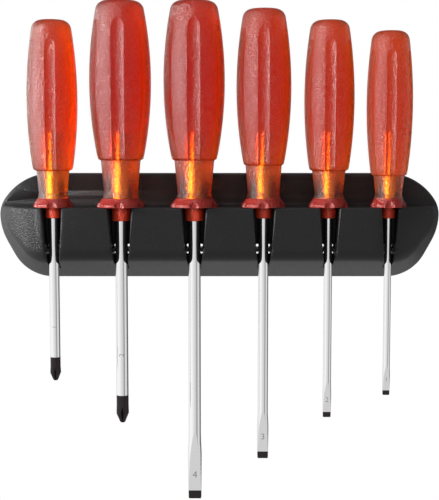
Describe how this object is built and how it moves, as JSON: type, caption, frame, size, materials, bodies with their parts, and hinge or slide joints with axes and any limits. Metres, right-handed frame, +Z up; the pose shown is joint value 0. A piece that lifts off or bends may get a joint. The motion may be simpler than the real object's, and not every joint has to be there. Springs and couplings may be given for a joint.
{
  "type": "screwdriver set with wall holder",
  "caption": "Wall-mounted black plastic holder with a row of screwdrivers, red handles, cross and slotted tips.",
  "frame": {"origin": "on the wall, midway between the two screw holes of the back plate", "axes": "+X along the holder to the right seen from the front, +Y into the wall, +Z up"},
  "size_m": [0.2226, 0.0333, 0.246],
  "materials": {
    "holder_plastic": "fine leather grain",
    "handle_plastic": "clear red, satin skin",
    "blade_steel": "bright chrome with dark tips"
  },
  "bodies": {
    "root": {"holder": "holder_plastic", "handle_cross_small": "handle_plastic", "handle_cross_medium": "handle_plastic", "handle_slotted_4": "handle_plastic", "handle_slotted_3": "handle_plastic", "handle_slotted_2": "handle_plastic", "handle_slotted_1": "handle_plastic", "blade_cross_small": "blade_steel", "blade_cross_medium": "blade_steel", "blade_slotted_4": "blade_steel", "blade_slotted_3": "blade_steel", "blade_slotted_2": "blade_steel", "blade_slotted_1": "blade_steel"}
  },
  "joints": []
}
